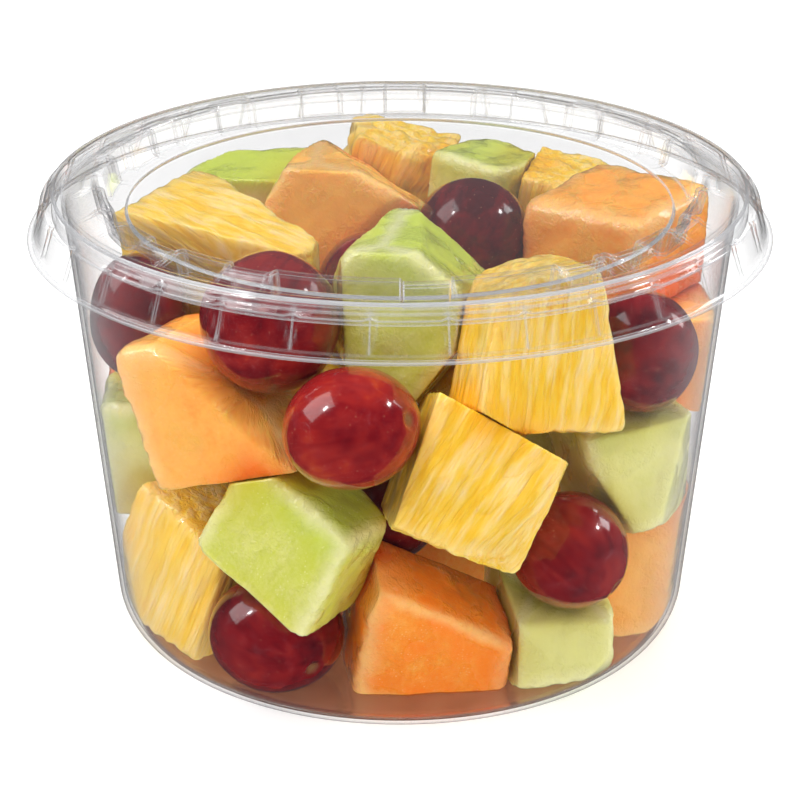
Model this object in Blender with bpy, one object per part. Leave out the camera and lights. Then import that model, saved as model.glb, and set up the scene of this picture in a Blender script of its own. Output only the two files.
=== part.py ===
"""Fruit salad in a clear plastic tub with its clip-on lid.

Chunks of cantaloupe, honeydew melon and pineapple lie with whole red grapes in a round, slightly
tapered tub. The lid has a raised stacking ring round a sunk middle panel, and a ribbed skirt that
clips over the tub's rim. The lid is on. The tub stands on the ground with its middle at the origin,
and the front is towards -Y.

Lengths are millimetres until a mesh is written. Each chunk of fruit is a box with rounded edges and
slightly tilted sides, pressed flat where it meets the wall, the floor, the lid or a neighbour.
"""

import math

import bpy
import numpy as np

MM = 0.001  # metres in a millimetre

# Tub
BASE_RADIUS = 57.5  # where the wall's line meets the ground
WALL_TOP_RADIUS = 65.1
WALL_TOP = 83.3
WALL = 0.8
CORNER = 9.0  # outer radius of the bend between floor and wall
RIM_RADIUS = 68.0
RIM_TOP = 91.0
RIM_DROP = 2.6  # how far the rim's edge turns down

# Lid
SHEET = 0.7
PANEL_TOP = 88.5
PANEL_RADIUS = 56.5
RING_TOP = 94.0
RING_INNER = 57.9
RING_OUTER = 59.8
CHANNEL_RADIUS = 64.9
CHANNEL_TOP = 92.4
CREST_RADIUS = 68.4
CREST_TOP = 92.9
SKIRT_TOP_RADIUS = 70.3
SKIRT_TOP = 89.6
SKIRT_FOOT_RADIUS = 71.6
SKIRT_FOOT = 83.9
LIP_RADIUS = 73.0
LIP_BOTTOM = 83.1
RIBS = 32
RIB_TURN = 6.95  # degrees from the front to the first rib
RIB_HALF_ANGLE = 1.15
RIB_DEPTH = 0.9
# Turn of each lug in degrees from the front
LUGS = (-163, -143, -123.5, -105, -86, -65, -46.5, -26.5, 4.5, 32.5, 43.5, 61, 86, 116, 138, 160, 179)
LUG_HALF_ANGLE = 3.9
LUG_DEPTH = 1.8

# Fruit
CLEARANCE = 0.4  # between fruit and tub
GAP = 0.3  # between two pieces of fruit
EDGE_POWER = 13.0  # a higher power makes sharper edges on a chunk
SIDE_TILT = 0.09  # how far a cut side leans, as a slope
SIZE_SPREAD = 0.04
TUB_COLUMNS = 48
LID_COLUMNS = 48
GRAPE_COLUMNS = 12
GRAPE_ROWS = 8
CHUNK_LINES = (-1.0, -0.72, 0.72, 1.0)  # where a chunk's mesh lines cross each side of its box

CLEAR = ("clear_plastic", (0.93, 0.95, 0.96), 0.08)
FLESH = {
    "cantaloupe": ("cantaloupe_flesh", (0.95, 0.42, 0.10), 0.35),
    "honeydew": ("honeydew_flesh", (0.68, 0.74, 0.26), 0.35),
    "pineapple": ("pineapple_flesh", (0.97, 0.70, 0.15), 0.38),
    "grape": ("grape_skin", (0.17, 0.012, 0.02), 0.18),
}

# name, middle, half lengths along its own three axes, turns in degrees about X, Y and Z, and for a
# wedge the pair of sides that lean in, the axis they lean along and by how many degrees, and one
# more cut as its own facing and its distance from the middle
FRUIT = (
    # against the front and the sides
    ("cantaloupe_01", (-29.4, -25.6, 57.6), (18, 13, 15.5), (0, -14, -23), None, ((0.77, 0, 0.64), 9)),
    ("cantaloupe_04", (6.2, -35.2, 14.6), (15.8, 11, 15.2), (12, 6, 8), (0, 1, -6), ((0.41, 0, 0.91), 8)),
    ("cantaloupe_05", (46, -7, 18), (12, 14, 15), (0, 5, 15)),
    ("cantaloupe_06", (55, 3, 58), (10, 13, 15), (5, -5, -5)),
    ("honeydew_04", (-19.4, -38.7, 33.3), (13.9, 9.6, 12), (-11, 25, -34)),
    ("honeydew_05", (44, -17, 43), (12, 13, 14), (-6, -7, 20)),
    ("honeydew_06", (28.5, -29, 13), (10.5, 12.5, 13), (-10, 0, 15)),
    ("honeydew_07", (-52, -4, 39), (9, 13, 12), (0, 8, 0)),
    ("pineapple_04", (24.4, -35, 71.5), (12, 11, 15.5), (-13, 5, 15), (0, 2, 11), ((-0.42, 0, 0.9), 14.5)),
    ("pineapple_05", (14, -42, 47.5), (13.8, 13, 13.2), (-20, 25, -5)),
    ("pineapple_06", (-39, -16, 18.5), (15, 13, 14), (0, 22, -40)),
    ("pineapple_07", (10, -12, 50), (12, 12, 12), (20, 10, 30)),
    ("grape_01", (-24.5, -29, 74), (13.4, 13, 13.5), (0, 10, -20)),
    ("grape_02", (-9, -48, 60.5), (12.9, 11.8, 11.3), (0, -8, 10)),
    ("grape_04", (46.3, -21.5, 65), (11.2, 11, 12), (0, 0, 0)),
    ("grape_05", (32.8, -35.7, 29.4), (11.5, 11.6, 11.3), (0, 20, -30)),
    ("grape_06", (-24, -37.5, 12.4), (13.4, 11.5, 11.8), (0, 15, 20)),
    ("grape_07", (-51.5, -6, 66), (10, 10, 13), (0, 0, 0)),
    ("grape_08", (-45, 9, 20), (10.5, 12, 10.5), (0, 0, 30)),
    ("grape_09", (-3, -20, 31), (11, 12, 10.5), (0, 0, 30)),
    # under the lid
    ("cantaloupe_02", (-13.5, 31, 72.5), (14, 14, 13.5), (-17, 33, -17)),
    ("cantaloupe_03", (44, 13.5, 72), (14.3, 15, 14), (0, 0, -40)),
    ("cantaloupe_07", (-45, 31, 60), (13, 10, 13), (0, 0, 40)),
    ("honeydew_01", (-32, 45, 68.5), (14, 11, 13), (5, 0, -4)),
    ("honeydew_02", (0.5, -18, 72), (14.5, 14, 14), (-15, 35, -18)),
    ("honeydew_03", (18.5, 42.5, 74.2), (10.5, 10.5, 10.5), (3, 0, 45)),
    ("pineapple_01", (-35, -2, 73), (21, 11.5, 12), (8, 3, -42), (1, 0, 9)),
    ("pineapple_02", (-2, 52, 75), (10, 9, 10.5), (0, 20, 0)),
    ("pineapple_03", (33, 41, 69.5), (12, 12, 13), (5, 5, -20)),
    ("grape_03", (15, 17.5, 75.5), (11.5, 11.4, 11), (0, 20, 0)),
    # round the back
    ("cantaloupe_08", (-13, 42, 16), (13, 13, 13), (8, -5, 15)),
    ("cantaloupe_09", (37, 34, 44), (13, 13, 14), (10, 5, 45)),
    ("cantaloupe_10", (-48, 14, 48), (12, 12, 13), (15, 10, 10)),
    ("honeydew_08", (40, 22, 17), (12, 14, 14), (5, 10, 30)),
    ("honeydew_09", (-37, 31, 18), (12, 13, 14), (0, 10, 50)),
    ("honeydew_10", (8, 48, 45), (14, 12, 14), (12, 15, 5)),
    ("pineapple_08", (17, 42, 17), (13, 12, 14), (-8, 5, -20), (0, 2, 6)),
    ("pineapple_09", (-38, 35, 45), (13, 13, 15), (10, 0, -40), (0, 2, 7)),
    ("grape_10", (50, 9, 38), (10, 10.5, 11), (0, 0, 0)),
    ("grape_11", (-16.5, 47, 43), (11, 11, 12), (0, 0, 0)),
    # in the middle, seen through the gaps
    ("cantaloupe_11", (2, 6, 16), (15, 14, 14), (0, 0, 25)),
    ("honeydew_11", (17, 14, 42), (13, 13, 14), (0, 15, 40)),
    ("pineapple_10", (-18, 8, 42), (14, 13, 14), (10, 20, 10)),
    ("grape_12", (-6, 6, 67), (11, 11, 12), (0, 0, 0)),
)


def clear_scene():
    for ob in list(bpy.data.objects):
        bpy.data.objects.remove(ob, do_unlink=True)


def material(name, colour, roughness):
    """The named Principled material, made once."""
    made = bpy.data.materials.get(name)
    if made is None:
        made = bpy.data.materials.new(name)
        made.use_nodes = True
        shader = made.node_tree.nodes["Principled BSDF"]
        shader.inputs["Base Color"].default_value = (*colour, 1.0)
        shader.inputs["Roughness"].default_value = roughness
        shader.inputs["Metallic"].default_value = 0.0
    return made


def add_object(name, points, faces, look):
    """A smooth mesh object from points in millimetres."""
    mesh = bpy.data.meshes.new(name)
    mesh.from_pydata((np.asarray(points) * MM).tolist(), [], [tuple(map(int, f)) for f in faces])
    mesh.shade_smooth()
    mesh.set_sharp_from_angle(angle=math.radians(35))
    mesh.materials.append(material(*look))
    ob = bpy.data.objects.new(name, mesh)
    bpy.context.scene.collection.objects.link(ob)
    return ob


# Turned shells


def wall_radius(height):
    """Outer radius of the tub's straight wall."""
    return BASE_RADIUS + (WALL_TOP_RADIUS - BASE_RADIUS) * height / WALL_TOP


def corner_arc(inset, steps):
    """Radius and height pairs round the bend from floor to wall, inset from the outer face."""
    slope = math.atan((WALL_TOP_RADIUS - BASE_RADIUS) / WALL_TOP)
    middle = wall_radius(CORNER) - CORNER / math.cos(slope)
    radius = CORNER - inset
    turns = [-math.pi / 2 + (math.pi / 2 - slope) * i / steps for i in range(steps + 1)]
    return [(middle + radius * math.cos(t), CORNER + radius * math.sin(t)) for t in turns]


def tub_profile():
    """Once round the tub's section: out under the floor, up, over the rim and back down inside."""
    outside = [
        *corner_arc(0, 4),
        (WALL_TOP_RADIUS, WALL_TOP),
        (WALL_TOP_RADIUS + 1.0, RIM_TOP - WALL),
        (RIM_RADIUS - WALL, RIM_TOP - WALL),
        (RIM_RADIUS - WALL, RIM_TOP - RIM_DROP),
        (RIM_RADIUS, RIM_TOP - RIM_DROP),
        (RIM_RADIUS, RIM_TOP),
    ]
    inside = [
        (WALL_TOP_RADIUS + 1.0 - WALL, RIM_TOP),
        (WALL_TOP_RADIUS - WALL, WALL_TOP),
        *reversed(corner_arc(WALL, 4)),
    ]
    return outside + inside


def even_angles(count):
    return [360.0 * i / count for i in range(count)]


def ring_points(angles, radius, height):
    """Points round one ring. radius is a number or a function of the angle in degrees."""
    sizes = [radius(a) if callable(radius) else radius for a in angles]
    turns = [math.radians(a - 90.0) for a in angles]
    return [(r * math.cos(t), r * math.sin(t), height) for r, t in zip(sizes, turns)]


def zip_rings(first, second, first_start, second_start):
    """Triangles between two rings of rising angles, which may differ in number.

    Each step moves on along the ring whose next edge has its middle nearer.
    """
    faces = []
    i = j = 0
    first = [*first, first[0] + 360.0]
    second = [*second, second[0] + 360.0]
    while i < len(first) - 1 or j < len(second) - 1:
        a = first_start + i % (len(first) - 1)
        b = second_start + j % (len(second) - 1)
        first_middle = sum(first[i : i + 2]) / 2 if i < len(first) - 1 else math.inf
        second_middle = sum(second[j : j + 2]) / 2 if j < len(second) - 1 else math.inf
        if first_middle <= second_middle:
            i += 1
            faces.append((a, first_start + i % (len(first) - 1), b))
        else:
            j += 1
            faces.append((a, second_start + j % (len(second) - 1), b))
    return faces


def turned_shell(rings, bottom, top):
    """A closed shell from rings (angles, radius, height), ended by a middle point at each height.

    The rings run out along the underside and back over the top.
    """
    points = [(0.0, 0.0, bottom)]
    starts = []
    for angles, radius, height in rings:
        starts.append(len(points))
        points += ring_points(angles, radius, height)
    points.append((0.0, 0.0, top))
    faces = []
    first = len(rings[0][0])
    faces += [(0, starts[0] + (i + 1) % first, starts[0] + i) for i in range(first)]
    for k in range(len(rings) - 1):
        faces += zip_rings(rings[k][0], rings[k + 1][0], starts[k], starts[k + 1])
    last = len(rings[-1][0])
    end = len(points) - 1
    faces += [(end, starts[-1] + i, starts[-1] + (i + 1) % last) for i in range(last)]
    return points, faces


def make_tub():
    angles = even_angles(TUB_COLUMNS)
    rings = [(angles, radius, height) for radius, height in tub_profile()]
    points, faces = turned_shell(rings, 0.0, WALL)
    add_object("tub", points, faces, CLEAR)


def with_ribs():
    """The lid's even angles and two more beside each rib."""
    near = [RIB_TURN + 360.0 * i / RIBS + s * RIB_HALF_ANGLE for i in range(RIBS) for s in (-1, 0, 1)]
    return sorted(a % 360.0 for a in even_angles(LID_COLUMNS) + near)


def with_lugs():
    """The lid's even angles, and the angles where each stacking lug starts and ends."""
    sides = [lug + s * w for lug in LUGS for s in (-1, 1) for w in (LUG_HALF_ANGLE, LUG_HALF_ANGLE + 0.6)]
    return sorted(a % 360.0 for a in even_angles(LID_COLUMNS) + sides)


def ribbed(radius, depth):
    """A ring's radius as a function of the angle, dented by depth at each rib."""
    pitch = 360.0 / RIBS

    def at(angle):
        off = abs((angle - RIB_TURN + pitch / 2) % pitch - pitch / 2)
        return radius - depth * max(0.0, 1.0 - off / RIB_HALF_ANGLE)

    return at


def lugged(radius, depth):
    """A ring's radius as a function of the angle, pushed out by depth at each lug."""

    def at(angle):
        off = min(abs((angle - lug + 180.0) % 360.0 - 180.0) for lug in LUGS)
        return radius + depth * min(1.0, max(0.0, (LUG_HALF_ANGLE + 0.6 - off) / 0.6))

    return at


def make_lid():
    plain = even_angles(LID_COLUMNS)
    ribs = with_ribs()
    lugs = with_lugs()
    under = [
        (lugs, lugged(PANEL_RADIUS + SHEET, LUG_DEPTH), PANEL_TOP - SHEET),
        (lugs, lugged(RING_INNER + 0.6 * SHEET, LUG_DEPTH), RING_TOP - SHEET),
        (lugs, lugged(RING_OUTER - 0.6 * SHEET, LUG_DEPTH), RING_TOP - SHEET),
        (plain, CHANNEL_RADIUS, CHANNEL_TOP - SHEET),
        (plain, CREST_RADIUS - 0.3, CREST_TOP - SHEET),
        (ribs, ribbed(SKIRT_TOP_RADIUS - SHEET, RIB_DEPTH), SKIRT_TOP),
        (plain, SKIRT_FOOT_RADIUS - SHEET, LIP_BOTTOM),
        (plain, LIP_RADIUS, LIP_BOTTOM),
    ]
    over = [
        (plain, LIP_RADIUS, LIP_BOTTOM + SHEET),
        (plain, SKIRT_FOOT_RADIUS, SKIRT_FOOT),
        (ribs, ribbed(SKIRT_TOP_RADIUS, RIB_DEPTH), SKIRT_TOP),
        (plain, CREST_RADIUS + 0.6, CREST_TOP - 0.5),
        (plain, CREST_RADIUS, CREST_TOP),
        (plain, CHANNEL_RADIUS, CHANNEL_TOP),
        (lugs, lugged(RING_OUTER, LUG_DEPTH), RING_TOP),
        (lugs, lugged(RING_INNER, LUG_DEPTH), RING_TOP),
        (lugs, lugged(PANEL_RADIUS, LUG_DEPTH), PANEL_TOP),
    ]
    points, faces = turned_shell(under + over, PANEL_TOP - SHEET, PANEL_TOP)
    add_object("lid", points, faces, CLEAR)


# Fruit


def turn_matrix(degrees):
    """Turn about X, then Y, then Z."""
    (cx, cy, cz), (sx, sy, sz) = np.cos(np.radians(degrees)), np.sin(np.radians(degrees))
    about_x = np.array([[1, 0, 0], [0, cx, -sx], [0, sx, cx]])
    about_y = np.array([[cy, 0, sy], [0, 1, 0], [-sy, 0, cy]])
    about_z = np.array([[cz, -sz, 0], [sz, cz, 0], [0, 0, 1]])
    return about_z @ about_y @ about_x


def even_directions(count):
    """Unit vectors spread evenly over a sphere along a spiral."""
    step = np.arange(count) + 0.5
    height = 1 - 2 * step / count
    turn = np.pi * (1 + math.sqrt(5)) * step
    flat = np.sqrt(1 - height**2)
    return np.stack([flat * np.cos(turn), flat * np.sin(turn), height], axis=1)


def inside_tub(points):
    """True for each point in the room for fruit: inside the wall, over the floor, under the lid."""
    floor = WALL + CLEARANCE
    ceiling = PANEL_TOP - SHEET - GAP
    height = points[:, 2]
    reach = wall_radius(height) - WALL - CLEARANCE
    bend = CORNER - floor
    drop = np.clip(CORNER - height, 0, bend)
    reach = reach - (bend - np.sqrt(bend**2 - drop**2))
    across = np.hypot(points[:, 0], points[:, 1])
    return (across <= reach) & (height >= floor) & (height <= ceiling)


class Piece:
    """A piece of fruit: its surface is given as a distance from its middle in each direction."""

    def __init__(self, number, name, middle, half, turns, wedge=None, cut=None):
        self.name = name
        self.kind = name.split("_")[0]
        self.middle = np.array(middle, float)
        self.half = np.array(half, float)
        self.turn = turn_matrix(turns)
        self.presses = []
        chance = np.random.default_rng(number)
        sides = np.concatenate([np.eye(3), -np.eye(3)]) + chance.uniform(-SIDE_TILT, SIDE_TILT, (6, 3))
        if wedge:
            pair, along, degrees = wedge
            sides[[pair, pair + 3], along] += math.tan(math.radians(degrees))
        spread = chance.uniform(1 - SIZE_SPREAD, 1 + SIZE_SPREAD, 6)
        self.offsets = np.concatenate([self.half, self.half]) * spread
        if cut:
            sides = np.vstack([sides, cut[0]])
            self.offsets = np.append(self.offsets, cut[1])
        self.sides = sides / np.linalg.norm(sides, axis=1, keepdims=True) @ self.turn.T

    def free_reach(self, directions):
        """The reach of the untouched piece.

        A grape is an ellipsoid. On a chunk the sum of (n . x / offset) to the EDGE_POWER, over the
        sides that face the direction, is one, which rounds the box's edges and corners.
        """
        if self.kind == "grape":
            return 1 / np.linalg.norm(directions @ self.turn / self.half, axis=1)
        facing = np.clip(directions @ self.sides.T, 0, None) / self.offsets
        return (facing**EDGE_POWER).sum(axis=1) ** (-1 / EDGE_POWER)

    def reach_in_tub(self, directions):
        """The reach where the tub and the lid stop it, found by halving."""
        reach = self.free_reach(directions)
        low, high = np.zeros(len(reach)), reach.copy()
        for _ in range(20):
            middle = (low + high) / 2
            held = inside_tub(self.middle + directions * middle[:, None])
            low = np.where(held, middle, low)
            high = np.where(held, high, middle)
        return np.where(inside_tub(self.middle + directions * reach[:, None]), reach, low)

    def reach(self, directions):
        """The reach where the neighbours stop it too."""
        reach = self.reach_in_tub(directions)
        for normal, offset in self.presses:
            along = directions @ normal
            room = offset - normal @ self.middle
            reach = np.where(along > 1e-6, np.minimum(reach, room / np.maximum(along, 1e-6)), reach)
        return reach


def press_together(pieces):
    """Gives each pair that meets a flat face between them, in the direction of least overlap.

    Two chunks give way by the same amount. A grape is firm, so the chunk beside it gives way.
    """
    directions = even_directions(400)
    points = [p.middle + directions * p.reach_in_tub(directions)[:, None] for p in pieces]
    sizes = [np.linalg.norm(q - p.middle, axis=1).max() for p, q in zip(pieces, points)]
    tries = even_directions(800)
    for i, a in enumerate(pieces):
        for j in range(i + 1, len(pieces)):
            b = pieces[j]
            way = b.middle - a.middle
            distance = np.linalg.norm(way)
            if distance > sizes[i] + sizes[j] + GAP:
                continue
            near = np.vstack([tries[tries @ way > 0.5 * distance], way / distance])
            ends = (points[i] @ near.T).max(axis=0)
            starts = (points[j] @ near.T).min(axis=0)
            best = (ends - starts).argmin()
            overlap = ends[best] - starts[best] + GAP
            if overlap < 0:
                continue
            share = 0.5 + 0.5 * ((b.kind == "grape") - (a.kind == "grape"))
            face = ends[best] - share * overlap
            a.presses.append((near[best], face))
            b.presses.append((-near[best], -face - GAP))


def chunk_mesh(piece):
    """The chunk's box as a grid of points on each of its sides, drawn in to its surface."""
    index = {}
    corners = []
    faces = []

    def number(corner):
        if corner not in index:
            index[corner] = len(corners)
            corners.append(corner)
        return index[corner]

    last = len(CHUNK_LINES) - 1
    for axis in range(3):
        for end in (0, last):
            for i in range(last):
                for j in range(last):
                    quad = []
                    for di, dj in ((0, 0), (1, 0), (1, 1), (0, 1)):
                        place = [i + di, j + dj]
                        place.insert(axis, end)
                        quad.append(number(tuple(CHUNK_LINES[k] for k in place)))
                    outward = (end == last) != (axis == 1)
                    faces.append(quad if outward else quad[::-1])
    box = np.array(corners) * piece.half @ piece.turn.T
    directions = box / np.linalg.norm(box, axis=1, keepdims=True)
    return piece.middle + directions * piece.reach(directions)[:, None], split_quads(faces)


def split_quads(faces):
    halves = []
    for a, b, c, d in faces:
        halves += [(a, b, c), (a, c, d)]
    return halves


def grape_mesh(piece):
    """Rings of points from pole to pole along the grape's own Z axis."""
    polar = [math.pi * i / GRAPE_ROWS for i in range(1, GRAPE_ROWS)]
    round_turns = [2 * math.pi * i / GRAPE_COLUMNS for i in range(GRAPE_COLUMNS)]
    own = [(0.0, 0.0, 1.0)]
    own += [
        (math.sin(p) * math.cos(t), math.sin(p) * math.sin(t), math.cos(p))
        for p in polar
        for t in round_turns
    ]
    own.append((0.0, 0.0, -1.0))
    body = np.array(own) * piece.half @ piece.turn.T
    directions = body / np.linalg.norm(body, axis=1, keepdims=True)
    faces = []
    end = len(own) - 1
    for i in range(GRAPE_COLUMNS):
        j = (i + 1) % GRAPE_COLUMNS
        faces.append((0, 1 + i, 1 + j))
        faces.append((end, end - GRAPE_COLUMNS + j, end - GRAPE_COLUMNS + i))
        for row in range(GRAPE_ROWS - 2):
            upper = 1 + row * GRAPE_COLUMNS
            lower = upper + GRAPE_COLUMNS
            faces.append((upper + i, lower + i, lower + j))
            faces.append((upper + i, lower + j, upper + j))
    return piece.middle + directions * piece.reach(directions)[:, None], faces


def make_fruit():
    pieces = [Piece(number, *row) for number, row in enumerate(FRUIT)]
    press_together(pieces)
    for piece in pieces:
        points, faces = grape_mesh(piece) if piece.kind == "grape" else chunk_mesh(piece)
        add_object(piece.name, points, faces, FLESH[piece.kind])


clear_scene()
make_tub()
make_lid()
make_fruit()
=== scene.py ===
"""Fruit salad in a clear tub: the looks round the fixed frame.

The tub and its lid are turned sheets of even thickness. Each piece of fruit is a surface given by its
reach from its middle in each direction, with the unevenness of a knife cut, of fibres or of a skin.
Lengths are millimetres until a mesh is written. The front is towards -Y.
"""

import math

import bpy
import numpy as np
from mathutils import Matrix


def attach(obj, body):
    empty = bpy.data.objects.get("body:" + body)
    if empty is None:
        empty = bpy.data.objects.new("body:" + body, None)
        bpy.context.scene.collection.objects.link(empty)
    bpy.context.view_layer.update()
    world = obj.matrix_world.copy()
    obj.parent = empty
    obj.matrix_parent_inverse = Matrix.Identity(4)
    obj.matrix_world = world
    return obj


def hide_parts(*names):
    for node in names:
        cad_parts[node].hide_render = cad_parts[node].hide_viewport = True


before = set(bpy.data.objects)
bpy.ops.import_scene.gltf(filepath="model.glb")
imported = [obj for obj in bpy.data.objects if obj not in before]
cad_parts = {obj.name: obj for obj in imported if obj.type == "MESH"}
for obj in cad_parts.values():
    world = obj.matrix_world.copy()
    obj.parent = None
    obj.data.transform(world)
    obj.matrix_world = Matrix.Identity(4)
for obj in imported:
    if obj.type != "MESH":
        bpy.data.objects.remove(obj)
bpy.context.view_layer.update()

MM = 0.001  # metres in a millimetre

# Tub
BASE_RADIUS = 57.5  # where the wall's line meets the ground
WALL_TOP_RADIUS = 65.1
WALL_TOP = 83.3
WALL = 0.8
CORNER = 9.0  # outer radius of the bend between floor and wall
RIM_RADIUS = 68.0
RIM_TOP = 91.0
RIM_DROP = 2.6  # how far the rim's edge turns down
FLOOR_BEAD = 47.6  # radius of the fine bead round the floor
FLOOR_BEAD_HEIGHT = 0.3
JUICE_TOP = 2.4

# Lid
SHEET = 0.7
PANEL_TOP = 88.5
PANEL_RADIUS = 56.5
RING_TOP = 94.0
RING_INNER = 57.9
RING_OUTER = 59.8
CHANNEL_RADIUS = 64.9
CHANNEL_TOP = 92.4
CREST_RADIUS = 68.4
CREST_TOP = 92.9
SKIRT_TOP_RADIUS = 70.3
SKIRT_TOP = 89.6
SKIRT_FOOT_RADIUS = 71.6
SKIRT_FOOT = 83.9
LIP_RADIUS = 73.0
LIP_BOTTOM = 83.1
RIBS = 32
RIB_TURN = 6.95  # degrees from the front to the first rib
RIB_HALF_ANGLE = 1.15
RIB_DEPTH = 0.9
# Turn of each lug in degrees from the front
LUGS = (-163, -143, -123.5, -105, -86, -65, -46.5, -26.5, 4.5, 32.5, 43.5, 61, 86, 116, 138, 160, 179)
LUG_HALF_ANGLE = 3.9
LUG_DEPTH = 1.8

# Fruit
CLEARANCE = 0.4  # between fruit and tub
GAP = 0.3  # between two pieces of fruit
EDGE_POWER = 13.0  # a higher power makes sharper edges on a chunk
EDGE_POWERS = {"cantaloupe": 10.0, "honeydew": 9.0}  # melon is softer
SIDE_TILT = 0.09  # how far a cut side leans, as a slope
SIZE_SPREAD = 0.04
CHUNK_CELLS = 36
FOLD_RADIUS = 0.7  # a sheet folded this tightly is at its palest, partly a painted highlight
CONTACT_SHADE_DISTANCE = 3.0  # over which the painted shade deepens towards a neighbour
GRAPE_COLUMNS = 88
GRAPE_ROWS = 56

# name, middle, half lengths along its own three axes, turns in degrees about X, Y and Z, and for a
# wedge the pair of sides that lean in, the axis they lean along and by how many degrees, and one
# more cut as its own facing and its distance from the middle
FRUIT = (
    # against the front and the sides
    ("cantaloupe_01", (-29.4, -25.6, 57.6), (18, 13, 15.5), (0, -14, -23), None, ((0.77, 0, 0.64), 9)),
    ("cantaloupe_04", (6.2, -35.2, 14.6), (15.8, 11, 15.2), (12, 6, 8), (0, 1, -6), ((0.41, 0, 0.91), 8)),
    ("cantaloupe_05", (46, -7, 18), (12, 14, 15), (0, 5, 15)),
    ("cantaloupe_06", (55, 3, 58), (10, 13, 15), (5, -5, -5)),
    ("honeydew_04", (-19.4, -38.7, 33.3), (13.9, 9.6, 12), (-11, 25, -34)),
    ("honeydew_05", (44, -17, 43), (12, 13, 14), (-6, -7, 20)),
    ("honeydew_06", (28.5, -29, 13), (10.5, 12.5, 13), (-10, 0, 15)),
    ("honeydew_07", (-52, -4, 39), (9, 13, 12), (0, 8, 0)),
    ("pineapple_04", (24.4, -35, 71.5), (12, 11, 15.5), (-13, 5, 15), (0, 2, 11), ((-0.42, 0, 0.9), 14.5)),
    ("pineapple_05", (14, -42, 47.5), (13.8, 13, 13.2), (-20, 25, -5)),
    ("pineapple_06", (-39, -16, 18.5), (15, 13, 14), (0, 22, -40)),
    ("pineapple_07", (10, -12, 50), (12, 12, 12), (20, 10, 30)),
    ("grape_01", (-24.5, -29, 74), (13.4, 13, 13.5), (0, 10, -20)),
    ("grape_02", (-9, -48, 60.5), (12.9, 11.8, 11.3), (0, -8, 10)),
    ("grape_04", (46.3, -21.5, 65), (11.2, 11, 12), (0, 0, 0)),
    ("grape_05", (32.8, -35.7, 29.4), (11.5, 11.6, 11.3), (0, 20, -30)),
    ("grape_06", (-24, -37.5, 12.4), (13.4, 11.5, 11.8), (0, 15, 20)),
    ("grape_07", (-51.5, -6, 66), (10, 10, 13), (0, 0, 0)),
    ("grape_08", (-45, 9, 20), (10.5, 12, 10.5), (0, 0, 30)),
    ("grape_09", (-3, -20, 31), (11, 12, 10.5), (0, 0, 30)),
    # under the lid
    ("cantaloupe_02", (-13.5, 31, 72.5), (14, 14, 13.5), (-17, 33, -17)),
    ("cantaloupe_03", (44, 13.5, 72), (14.3, 15, 14), (0, 0, -40)),
    ("cantaloupe_07", (-45, 31, 60), (13, 10, 13), (0, 0, 40)),
    ("honeydew_01", (-32, 45, 68.5), (14, 11, 13), (5, 0, -4)),
    ("honeydew_02", (0.5, -18, 72), (14.5, 14, 14), (-15, 35, -18)),
    ("honeydew_03", (18.5, 42.5, 74.2), (10.5, 10.5, 10.5), (3, 0, 45)),
    ("pineapple_01", (-35, -2, 73), (21, 11.5, 12), (8, 3, -42), (1, 0, 9)),
    ("pineapple_02", (-2, 52, 75), (10, 9, 10.5), (0, 20, 0)),
    ("pineapple_03", (33, 41, 69.5), (12, 12, 13), (5, 5, -20)),
    ("grape_03", (15, 17.5, 75.5), (11.5, 11.4, 11), (0, 20, 0)),
    # round the back
    ("cantaloupe_08", (-13, 42, 16), (13, 13, 13), (8, -5, 15)),
    ("cantaloupe_09", (37, 34, 44), (13, 13, 14), (10, 5, 45)),
    ("cantaloupe_10", (-48, 14, 48), (12, 12, 13), (15, 10, 10)),
    ("honeydew_08", (40, 22, 17), (12, 14, 14), (5, 10, 30)),
    ("honeydew_09", (-37, 31, 18), (12, 13, 14), (0, 10, 50)),
    ("honeydew_10", (8, 48, 45), (14, 12, 14), (12, 15, 5)),
    ("pineapple_08", (17, 42, 17), (13, 12, 14), (-8, 5, -20), (0, 2, 6)),
    ("pineapple_09", (-38, 35, 45), (13, 13, 15), (10, 0, -40), (0, 2, 7)),
    ("grape_10", (50, 9, 38), (10, 10.5, 11), (0, 0, 0)),
    ("grape_11", (-16.5, 47, 43), (11, 11, 12), (0, 0, 0)),
    # in the middle, seen through the gaps
    ("cantaloupe_11", (2, 6, 16), (15, 14, 14), (0, 0, 25)),
    ("honeydew_11", (17, 14, 42), (13, 13, 14), (0, 15, 40)),
    ("pineapple_10", (-18, 8, 42), (14, 13, 14), (10, 20, 10)),
    ("grape_12", (-6, 6, 67), (11, 11, 12), (0, 0, 0)),
)

# Which way the stem end of a grape points, where it isn't turned from sight
STEM_ENDS = {
    "grape_02": (0.86, -0.36, 0.30),
    "grape_05": (0.76, -0.42, -0.48),
    "grape_06": (0.62, -0.72, -0.30),
}
HIDDEN_STEM = (0.3, 0.9, 0.2)

# How light a piece is within its kind, from 0 to 1, where it differs from the middle
TONES = {
    "cantaloupe_01": 0.75,
    # painted light: lighter than its kind, to brighten a piece that the lamps light too little under the lid
    "cantaloupe_02": 1.15,
    "cantaloupe_03": 0.5,
    "cantaloupe_04": 0.1,
    "cantaloupe_05": 1.1,
    "cantaloupe_06": 0.9,
    "honeydew_01": 0.0,
    "honeydew_02": 0.35,
    "honeydew_04": 0.2,
    "honeydew_05": 0.85,
    "honeydew_06": 0.9,
    "honeydew_07": 1.1,
    "grape_01": 0.45,
    "grape_02": 0.62,
    "grape_06": 0.36,
    "grape_05": 0.42,
    "grape_03": 0.15,
}

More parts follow.
